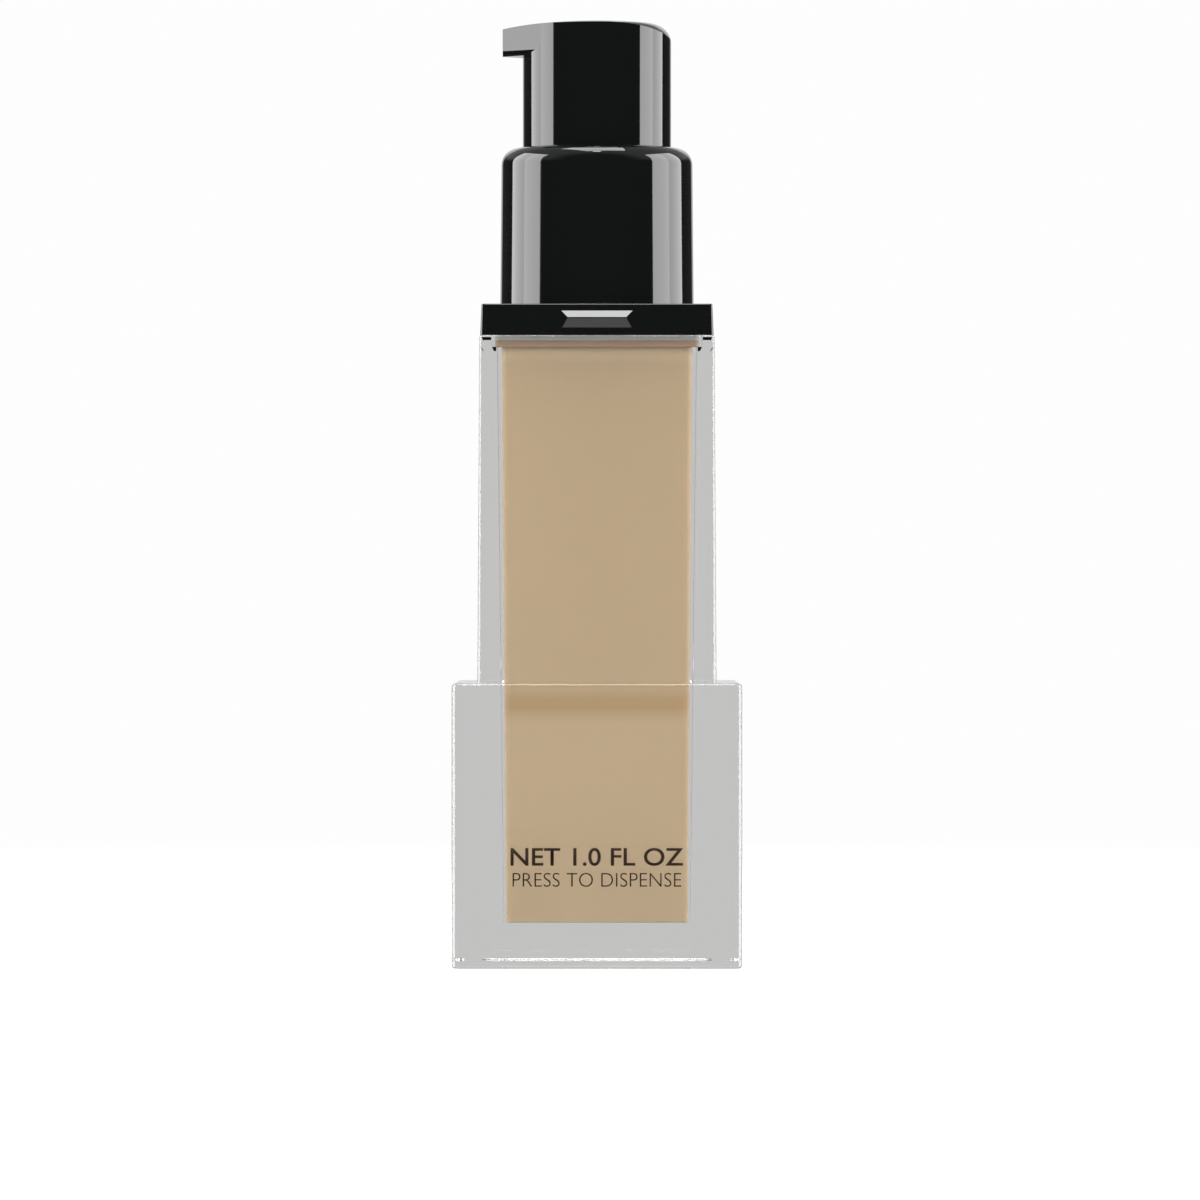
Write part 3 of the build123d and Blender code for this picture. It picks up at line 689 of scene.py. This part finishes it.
tree.links.new(heading.outputs["Generated"], split.inputs[0])
tree.links.new(split.outputs["Z"], raised.inputs["Value"])
tree.links.new(split.outputs["Y"], beyond.inputs["Value"])
tree.links.new(raised.outputs["Result"], both.inputs[0])
tree.links.new(beyond.outputs["Result"], both.inputs[1])
mirrored = mix_colours(tree, both.outputs[0], mirrored, high_wall)
colour = mix_colours(tree, path.outputs["Is Glossy Ray"], ambient, mirrored)
colour = mix_colours(tree, path.outputs["Is Transmission Ray"], colour, through)
colour = mix_colours(tree, path.outputs["Is Camera Ray"], colour, seen)
tree.links.new(colour, backdrop.inputs["Color"])
print(world.name, "has", len(tree.nodes), "nodes")

# %% [markdown]
# ## Floor
#
# The floor is pale and melts into the white behind it. Near the bottle it has a colour of
# its own, so that it takes light, and further off it only glows. It is hidden from
# mirrored and bent rays, so that it leaves the black and the clear walls alone.

# %% Lay the floor
FLOOR_SIZE = 3.0
FLOOR_DROP = 0.01 * MM
NEAR, FAR = 0.04, 0.45
GLOW_NEAR, GLOW_FAR = grey(0.66), grey(0.985)
OWN_NEAR, OWN_FAR = grey(0.42), grey(0.0)
floor_finish, tree, shader = new_finish("pale_floor", (0.5, 0.5, 0.5), 0.9)
place = add_node(tree, "ShaderNodeTexCoord")
apart = add_node(tree, "ShaderNodeVectorMath", operation="LENGTH")
tree.links.new(place.outputs["Object"], apart.inputs[0])
fade = add_node(
    tree,
    "ShaderNodeMapRange",
    {"From Min": NEAR, "From Max": FAR},
    interpolation_type="SMOOTHSTEP",
)
tree.links.new(apart.outputs["Value"], fade.inputs["Value"])
lit = mix_colours(tree, fade.outputs["Result"], GLOW_NEAR, GLOW_FAR)
own = mix_colours(tree, fade.outputs["Result"], OWN_NEAR, OWN_FAR)
tree.links.new(lit, shader.inputs["Emission Color"])
tree.links.new(own, shader.inputs["Base Color"])
shader.inputs["Emission Strength"].default_value = 1.0
shader.inputs["Specular IOR Level"].default_value = 0.0
floor_mesh = bpy.data.meshes.new("floor")
corners = [
    (x * FLOOR_SIZE, y * FLOOR_SIZE, -FLOOR_DROP)
    for x, y in ((-1, -1), (1, -1), (1, 1), (-1, 1))
]
floor_mesh.from_pydata(corners, [], [(0, 1, 2, 3)])
floor_mesh.materials.append(floor_finish)
floor = bpy.data.objects.new("floor", floor_mesh)
floor.visible_transmission = False
floor.visible_glossy = False
bpy.context.scene.collection.objects.link(floor)
print("floor reaches", FLOOR_SIZE, "m each way")

# %% [markdown]
# ## Camera
#
# A long lens from 90 cm away stands level, 10 mm above the ledge. It keeps the uprights
# parallel and shows the pump from slightly below.

# %% Place the camera
CAMERA_DISTANCE = 0.900
CAMERA_HEIGHT = 44.4 * MM
CAMERA_SIDE = 0.37 * MM
VIEW_WIDTH = 147.2 * MM
SENSOR_WIDTH = 36.0
lens = bpy.data.cameras.new("camera")
lens.sensor_width = SENSOR_WIDTH
lens.lens = SENSOR_WIDTH * CAMERA_DISTANCE / VIEW_WIDTH
camera = bpy.data.objects.new("camera", lens)
camera.location = (CAMERA_SIDE, -CAMERA_DISTANCE, CAMERA_HEIGHT)
camera.rotation_euler = (pi / 2, 0, 0)
bpy.context.scene.collection.objects.link(camera)
bpy.context.scene.camera = camera
bpy.context.scene.view_settings.view_transform = "Standard"
print("lens", round(lens.lens), "mm")

# %% [markdown]
# ## Light through thick walls
#
# Light runs along inside clear walls, turned back many times before it leaves. Where a
# path is cut short the wall looks black, so the walls get enough bounces to stay clear.

# %% Allow long light paths
MOST_BOUNCES = 32
light_paths = bpy.context.scene.cycles
light_paths.max_bounces = MOST_BOUNCES
light_paths.glossy_bounces = MOST_BOUNCES
light_paths.transmission_bounces = MOST_BOUNCES
print("light paths turn up to", MOST_BOUNCES, "times")
